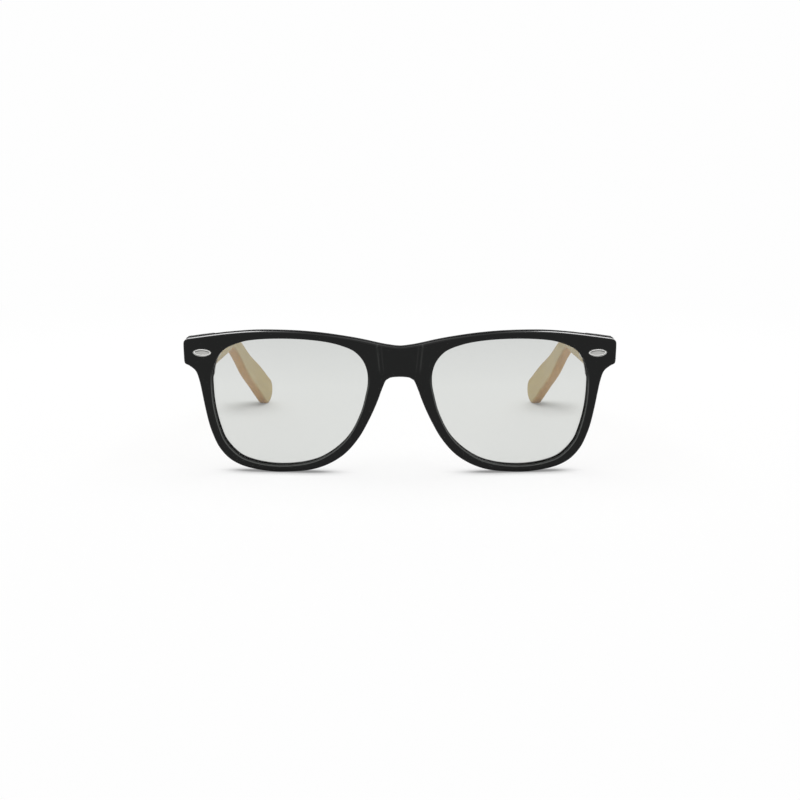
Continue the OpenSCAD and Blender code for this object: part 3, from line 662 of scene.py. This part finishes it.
ring_metal = metal("polished_nickel", (0.86, 0.86, 0.84), 0.12, 0.08)
middle_metal = metal("brushed_nickel", (0.48, 0.48, 0.465), 0.24, 0.12,
                     brushed=(400.0, 400.0, 9000.0))
for side, sign in (("left", -1), ("right", 1)):
    plate = shell("oval_plate_" + side, plate_points * (sign, 1, 1), skin.tolist() + ends,
                  np.concatenate([in_middle, [0, 1]]), polish_left=polish_left.ravel())
    plate.data.materials.append(ring_metal)
    plate.data.materials.append(middle_metal)
    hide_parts("rivet_plate_" + side)
    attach(plate, "front")

# ---- Spring hinges ----------------------------------------------------------
# Small steel hinges between front and temple, as cut and turned: leaf, screw, slider with its
# eye, and the spring in its box on the temple's inner side. Their CAD shapes are used as they are.
steel = metal("satin_steel", (0.58, 0.585, 0.59), 0.24, 0.14, brushed=(3000.0, 300.0, 3000.0))
turned_steel = metal("turned_steel", (0.50, 0.51, 0.52), 0.18, 0.12)
spring_steel = metal("spring_wire", (0.42, 0.43, 0.44), 0.22, 0.10)
for part, finish_of in (("hinge_leaf", steel), ("hinge_screw", turned_steel),
                        ("hinge_slider", steel), ("spring_cap", turned_steel),
                        ("hinge_spring", spring_steel), ("spring_box", steel),
                        ("box_screws", turned_steel)):
    for side in ("left", "right"):
        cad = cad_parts[f"{part}_{side}"]
        cad.data.materials.clear()
        cad.data.materials.append(finish_of)
# Pulling a temple back presses its spring against the stop pin on the slider's end. Here each
# spring only gets a mesh of its own.
for side in ("left", "right"):
    low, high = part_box("hinge_spring_" + side)
    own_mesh(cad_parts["hinge_spring_" + side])

# ---- Temples ----------------------------------------------------------------
# Sawn from solid bamboo, steamed to the bend over the ear, sanded round at the edges and clear
# lacquered. Straight fibres run their whole length and show as dots where the wood is cut across.
temple_t, bend_h, tip_h = 3.9, 6.2, 10.8
straight_l, hook_l, straight_fall, temple_bow = 65.0, 57.5, 5.0, 12.5
joint_y = axis_y
temple_in = axis_x + knuckle_r + 0.3
temple_x = temple_in + temple_t / 2
tip_y = joint_y + straight_l + hook_l
tip_z = tip_h / 2 - 0.12
bend_z = axis_z - straight_fall
# The middle line seen from the side, with the height of the wood, and seen from above.
side_line = [
    (joint_y, axis_z, temple_h),
    (joint_y + 0.2 * straight_l, axis_z - 0.32 * straight_fall, temple_h + 0.5),
    (joint_y + 0.5 * straight_l, axis_z - 0.66 * straight_fall, 0.55 * temple_h + 0.45 * bend_h),
    (joint_y + 0.8 * straight_l, axis_z - 0.88 * straight_fall, 0.2 * temple_h + 0.8 * bend_h),
    (joint_y + straight_l, bend_z, bend_h),
    (tip_y - 0.74 * hook_l, bend_z - 0.215 * (bend_z - tip_z), 0.8 * bend_h + 0.2 * tip_h),
    (tip_y - 0.48 * hook_l, bend_z - 0.485 * (bend_z - tip_z), 0.43 * bend_h + 0.57 * tip_h),
    (tip_y - 0.23 * hook_l, bend_z - 0.725 * (bend_z - tip_z), 0.15 * bend_h + 0.85 * tip_h),
    (tip_y, tip_z, tip_h),
]
plan_line = [
    (temple_x, joint_y - 5), (temple_x - 0.10 * temple_bow, joint_y + 0.4 * straight_l),
    (temple_x - 0.25 * temple_bow, joint_y + straight_l),
    (temple_x - 0.355 * temple_bow, tip_y - 0.74 * hook_l),
    (temple_x - 0.49 * temple_bow, tip_y - 0.48 * hook_l),
    (temple_x - 0.67 * temple_bow, tip_y - 0.23 * hook_l),
    (temple_x - temple_bow, tip_y + tip_h / 2),
]
edge_round, end_round, tip_r = 1.15, 0.35, tip_h / 2 - 0.003
# Places along the middle line: close together at the front end, then even, then round the tip. At
# the front end the line runs 12.3 mm from one of its points to the next.
first = end_round * (1 - np.cos(np.radians([0, 22, 45, 67, 90])))
along = np.concatenate([first / 12.3, np.linspace(0.08, len(side_line) - 1, 150)])
middle = curve_at(side_line, along)
way = curve_at(side_line, along + 1e-3) - curve_at(side_line, along - 1e-3)
# The front end is cut square, so the sections stand upright there.
way[:, 1] *= step_up((middle[:, 0] - joint_y) / 10)
way = way[:, :2] / np.hypot(way[:, 0], way[:, 1])[:, None]
beyond = tip_r * np.sin(np.radians(np.linspace(0, 90, 19)[1:]))
middle = np.concatenate([middle, np.column_stack([middle[-1, :2] + beyond[:, None] * way[-1],
                                                  np.full(len(beyond), tip_h)])])
way = np.concatenate([way, np.repeat(way[-1:], len(beyond), 0)])
past = np.concatenate([np.zeros(len(along)), beyond])[:, None]
taken_off = np.zeros(len(middle))
taken_off[:len(first)] = end_round - np.sqrt(end_round**2 - (end_round - first) ** 2)
tall = (middle[:, 2] / 2)[:, None]

# Round the section: eight stations on each rounded corner, three across each narrow side and
# seven across each wide one. `level` is a station's share of the height, `inset` its distance
# from the outline seen from the side, and `thick` its share of half the thickness.
inset = edge_round * (1 - np.sin(np.radians(np.linspace(0, 90, 8))))
section = []
for up in (1.0, -1.0):
    section += [(up, i, up) for i in inset] + [(up, 0.0, k * up) for k in (0.5, 0.0, -0.5)]
    section += [(up, i, -up) for i in inset[::-1]]
    section += [(k * up, edge_round, -up) for k in (0.75, 0.5, 0.25, 0.0, -0.25, -0.5, -0.75)]
level, inset, thick = (np.array(values)[None, :] for values in zip(*section))
# Height over the middle line: half the height less the inset, and a circle round the tip.
reach = np.where(past > 0, np.sqrt(np.clip((tip_r - inset) ** 2 - past**2, 0, None)),
                 tall - inset)
rise = level * np.clip(reach - taken_off[:, None], 0, None)
left_over = np.clip(np.minimum(inset, np.where(past > 0, tip_r - past, edge_round)), 0, edge_round)
swell = temple_t / 2 - edge_round + np.sqrt(edge_round**2 - (edge_round - left_over) ** 2)
swell = np.broadcast_to(swell, rise.shape) - taken_off[:, None]
wide = thick * swell
side_y = middle[:, [0]] - rise * way[:, [1]]
side_z = middle[:, [1]] + rise * way[:, [0]]
# Seen from above, every point moves square to the bowed middle line.
plan = curve_at(plan_line, np.linspace(0, 6, 400))
plan_way = np.gradient(plan, axis=0)
plan_way /= np.hypot(plan_way[:, 0], plan_way[:, 1])[:, None]
plan_x = np.interp(side_y, plan[:, 1], plan[:, 0])
slope_x = np.interp(side_y, plan[:, 1], plan_way[:, 0])
slope_y = np.interp(side_y, plan[:, 1], plan_way[:, 1])
squared = np.clip((tip_y + tip_r - side_y) / tip_r, 0, 1)
temple_px = plan_x + wide * (squared * slope_y + (1 - squared) / slope_y)
temple_py = side_y - wide * slope_x * squared
# The front end is bevelled outside, so that the temple can spring outward past the front.
bevel_d, bevel_w, bevel_fade = 0.4, 1.3, 3
bevel = np.clip(bevel_d + (temple_px - temple_in - temple_t) * (bevel_d / bevel_w), 0, None)
temple_py = temple_py + bevel * np.clip(1 - (temple_py - joint_y) / bevel_fade, 0, 1)
temple_pz = np.maximum(side_z, 0)
temple_points = np.stack([temple_px, temple_py - mid_y, temple_pz], -1) / 1000
number = np.arange(temple_px.size).reshape(temple_px.shape)
skin = np.stack([number[:-1], number[1:], np.roll(number[1:], -1, 1), np.roll(number[:-1], -1, 1)],
                -1).reshape(-1, 4)
# Fibre coordinates in the straight, unbent strip: along it, up, and through its thickness.
length = np.concatenate([[0], np.cumsum(np.hypot(*np.diff(middle[:, :2], axis=0).T))])[:, None]
fibre = np.stack([np.broadcast_to(length, rise.shape), rise, wide], -1).reshape(-1, 3)
narrow_side = np.broadcast_to(1 - inset / edge_round, rise.shape).ravel()

bamboo, tree, shader = material("lacquered_bamboo")
grain = node(tree, "Attribute", attribute_name="fibre", attribute_type="GEOMETRY")
long_way = node(tree, "Mapping", {"Vector": grain.outputs["Vector"], "Scale": (0.035, 1.0, 1.0)})
streak = node(tree, "TexNoise", {"Vector": long_way.outputs["Vector"], "Scale": 2.6, "Detail": 4.0,
                                 "Roughness": 0.6})
broad = node(tree, "TexNoise", {"Vector": long_way.outputs["Vector"],
                                "Scale": 0.45, "Detail": 2.0})
bundle_way = node(tree, "Mapping", {"Vector": grain.outputs["Vector"], "Scale": (0.09, 1.5, 1.5)})
bundle = node(tree, "TexVoronoi", {"Vector": bundle_way.outputs["Vector"], "Scale": 1.25,
                                   "Randomness": 1.0}, feature="F1")
dots = node(tree, "MapRange", {"Value": bundle.outputs["Distance"], "From Min": 0.10,
                               "From Max": 0.34, "To Min": 1.0, "To Max": 0.0})
wood = node(tree, "ValToRGB", {"Fac": streak.outputs["Fac"]})
wood.color_ramp.elements[0].position = 0.30
wood.color_ramp.elements[0].color = (0.478, 0.326, 0.087, 1)
wood.color_ramp.elements[1].position = 0.66
wood.color_ramp.elements[1].color = (0.672, 0.505, 0.168, 1)
pale = node(tree, "Mix", {0: broad.outputs["Fac"], 6: wood.outputs["Color"],
                          7: (0.638, 0.488, 0.172, 1)}, data_type="RGBA", blend_type="MIX")
darker = node(tree, "Math", {0: dots.outputs["Result"], 1: 0.45}, operation="MULTIPLY")
fibres = node(tree, "Mix", {0: darker.outputs[0], 6: pale.outputs[2], 7: (0.42, 0.285, 0.13, 1)},
              data_type="RGBA", blend_type="MIX")
# The narrow sides are cut across the stem's wall, where the fibres stand closer: more orange.
across_wall = node(tree, "Attribute", attribute_name="narrow_side", attribute_type="GEOMETRY")
warmer = node(tree, "Mix", {0: across_wall.outputs["Fac"], 6: fibres.outputs[2],
                            7: (0.93, 0.67, 0.50, 1)}, data_type="RGBA", blend_type="MULTIPLY")
tree.links.new(warmer.outputs[2], shader.inputs["Base Color"])
dull = node(tree, "MapRange", {"Value": streak.outputs["Fac"], "From Min": 0.3, "From Max": 0.7,
                               "To Min": 0.46, "To Max": 0.36})
tree.links.new(dull.outputs["Result"], shader.inputs["Roughness"])
raised = node(tree, "Math", {0: streak.outputs["Fac"], 1: dots.outputs["Result"]},
              operation="SUBTRACT")
bump = node(tree, "Bump", {"Height": raised.outputs[0], "Strength": 0.18, "Distance": 0.00006})
tree.links.new(bump.outputs["Normal"], shader.inputs["Normal"])
shader.inputs["Specular IOR Level"].default_value = 0.4
shader.inputs["Coat Weight"].default_value = 0.25
shader.inputs["Coat Roughness"].default_value = 0.22
for side, sign in (("left", -1), ("right", 1)):
    temple = shell("bamboo_temple_" + side, temple_points * (sign, 1, 1),
                   skin.tolist() + [number[0].tolist()], fibre=fibre, narrow_side=narrow_side)
    temple.data.materials.append(bamboo)
    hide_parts("temple_" + side)
    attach(temple, "temple_" + side)

# ---- Floor, light and camera ------------------------------------------------
# A pale sweep of paper that is plain white away from the glasses, an even white surround, a large
# soft lamp overhead and two strips behind, left and right, that draw the line along the brow.
floor_mesh = bpy.data.meshes.new("floor")
floor_mesh.from_pydata([(-6, -4, 0), (6, -4, 0), (6, 8, 0), (-6, 8, 0)], [], [(0, 1, 2, 3)])
floor = bpy.data.objects.new("floor", floor_mesh)
bpy.context.scene.collection.objects.link(floor)


def shown_to(tree):
    """The kinds of ray, and a mask that is 1 for those of the camera and for those that come to
    it by way of metal or lens, which all show the plain background."""
    rays = tree.nodes.new("ShaderNodeLightPath")
    seen = node(tree, "Math", {0: rays.outputs["Is Camera Ray"], 1: rays.outputs["Is Glossy Ray"]},
                operation="MAXIMUM")
    seen = node(tree, "Math", {0: seen.outputs[0], 1: rays.outputs["Is Transmission Ray"]},
                operation="MAXIMUM")
    return rays, seen


paper, tree, shader = material("paper")
tree.nodes.remove(shader)
place = tree.nodes.new("ShaderNodeTexCoord")
_, seen = shown_to(tree)
far = node(tree, "VectorMath", {0: place.outputs["Object"]}, operation="LENGTH")
fading = node(tree, "MapRange", {"Value": far.outputs["Value"],
                                 "From Min": 0.16, "From Max": 0.45},
              interpolation_type="SMOOTHSTEP")
lit = node(tree, "BsdfDiffuse", {"Color": (0.80, 0.80, 0.80, 1)})
shaded = node(tree, "BsdfDiffuse", {"Color": (0.24, 0.24, 0.24, 1)})
# Painted contact shadow where a piece meets the paper: ambient occlusion lowers the paper's glow.
# At the temples' tips the occlusion is sought inward and behind, so the shadow there lies outward
# and in front.
where = node(tree, "SeparateXYZ", {0: place.outputs["Object"]})
at_tips = node(tree, "MapRange", {"Value": where.outputs["Y"], "From Min": 0.0, "From Max": 0.04},
               interpolation_type="SMOOTHSTEP")
inward_x = node(tree, "MapRange", {"Value": where.outputs["X"], "From Min": -0.03,
                                   "From Max": 0.03, "To Min": 1.0, "To Max": -1.0})
tilt = node(tree, "CombineXYZ", {"X": inward_x.outputs["Result"], "Y": 1.2, "Z": 0.0})
tilt = node(tree, "VectorMath", {0: tilt.outputs[0], "Scale": at_tips.outputs["Result"]},
            operation="SCALE")
tilt = node(tree, "VectorMath", {0: tilt.outputs[0], 1: (0, 0, 0.8)}, operation="ADD")
tilt = node(tree, "VectorMath", {0: tilt.outputs[0]}, operation="NORMALIZE")
# How far it reaches, where it is open and where darkest: under the rims, and at the tips.
reaching, open_from, dark_to = (
    node(tree, "MapRange", {"Value": at_tips.outputs["Result"], "To Min": rims, "To Max": tips})
    for rims, tips in ((0.011, 0.018), (0.80, 0.95), (0.40, 0.56)))
close = node(tree, "AmbientOcclusion", {"Distance": reaching.outputs["Result"],
                                        "Normal": tilt.outputs[0]}, samples=16)
contact = node(tree, "MapRange", {"Value": close.outputs["AO"],
                                  "From Min": dark_to.outputs["Result"],
                                  "From Max": open_from.outputs["Result"],
                                  "To Min": 0.25, "To Max": 0.755})
added = node(tree, "Emission", {"Color": (1, 1, 1, 1), "Strength": contact.outputs["Result"]})
near = node(tree, "AddShader", {0: shaded.outputs[0], 1: added.outputs[0]})
white = node(tree, "Emission", {"Color": (1, 1, 1, 1), "Strength": 0.99})
whole = node(tree, "MixShader", {0: fading.outputs["Result"], 1: near.outputs[0],
                                 2: white.outputs[0]})
shown = node(tree, "MixShader", {0: seen.outputs[0], 1: lit.outputs[0], 2: whole.outputs[0]})
tree.links.new(shown.outputs[0], tree.nodes["Material Output"].inputs["Surface"])
floor.data.materials.append(paper)

world = bpy.data.worlds.new("surround")
bpy.context.scene.world = world
world.use_nodes = True
tree = world.node_tree
rays, seen = shown_to(tree)
plain = node(tree, "MapRange", {"Value": seen.outputs[0], "To Min": 0.36, "To Max": 0.99})
# Reflections find the surround dark low behind the glasses, between the two strips.
toward = tree.nodes.new("ShaderNodeTexCoord")
toward = node(tree, "SeparateXYZ", {0: toward.outputs["Generated"]})
beside_middle = node(tree, "Math", {0: toward.outputs["X"]}, operation="ABSOLUTE")
not_behind = node(tree, "MapRange", {"Value": toward.outputs["Y"], "From Min": 0.3,
                                     "From Max": 0.0, "To Min": 0.0, "To Max": 0.5})
open_way = node(tree, "Math", {0: beside_middle.outputs[0], 1: not_behind.outputs["Result"]},
                operation="ADD")
card = node(tree, "MapRange", {"Value": open_way.outputs[0], "From Min": 0.0, "From Max": 0.15,
                               "To Min": 0.10, "To Max": 0.99}, interpolation_type="SMOOTHSTEP")
mirrored = node(tree, "Math", {0: rays.outputs["Is Glossy Ray"],
                               1: rays.outputs["Is Transmission Ray"]},
                operation="SUBTRACT", use_clamp=True)
# The overhead lamp hides the surround behind it.
past_lamp = node(tree, "MapRange", {"Value": toward.outputs["Z"], "From Min": 0.50,
                                    "From Max": 0.80, "To Min": 1.0, "To Max": 0.15})
beyond_lamp = node(tree, "Math", {0: card.outputs["Result"], 1: past_lamp.outputs["Result"]},
                   operation="MULTIPLY")
level_of = node(tree, "Mix", {0: mirrored.outputs[0], 2: plain.outputs["Result"],
                              3: beyond_lamp.outputs[0]}, data_type="FLOAT")
tree.links.new(level_of.outputs[0], tree.nodes["Background"].inputs["Strength"])
tree.nodes["Background"].inputs["Color"].default_value = (1, 1, 1, 1)


def lamp(name, place, aim, size, power, tall=None):
    """A soft rectangular lamp at a place, with its size and its power, turned toward a point by
    the tilt and the bearing of the line from there to the lamp."""
    made = bpy.data.lights.new(name, "AREA")
    made.shape = "RECTANGLE"
    made.size, made.size_y, made.energy = size, tall or size, power
    holder = bpy.data.objects.new(name, made)
    bpy.context.scene.collection.objects.link(holder)
    back = np.array(place, float) - np.array(aim, float)
    holder.location = place
    holder.rotation_euler = (math.atan2(math.hypot(back[0], back[1]), back[2]), 0,
                             math.atan2(back[0], -back[1]))


lamp("overhead", (0, 0.09, 2.0), (0, 0.0, 0), 4.00, 56.0)
for side, sign in (("left", -1), ("right", 1)):
    lamp("strip_" + side, (sign * 0.28, 0.75, 0.33), (sign * 0.05, -0.06, 0.045), 0.30, 0.40, 0.18)

# The camera looks at the face of the bridge from in front and a little above. At that distance a
# millimetre is px_per_mm pixels of the picture.
distance, above, bridge_y, bridge_z = 0.560, math.radians(10.5), -0.06748, 0.024
picture_px, px_per_mm, right_px, up_px = 800, 2.977, 0.1, 3.8
view = bpy.data.cameras.new("view")
camera = bpy.data.objects.new("view", view)
bpy.context.scene.collection.objects.link(camera)
camera.location = (0, bridge_y - distance * math.cos(above),
                   bridge_z + distance * math.sin(above))
camera.rotation_euler = (math.pi / 2 - above, 0, 0)
view.sensor_width = 36
view.lens = px_per_mm * (1000 * distance) / picture_px * view.sensor_width
view.shift_x = right_px / picture_px
view.shift_y = up_px / picture_px
view.clip_start, view.clip_end = 0.01, 50
bpy.context.scene.camera = camera
bpy.context.scene.view_settings.view_transform = "Standard"
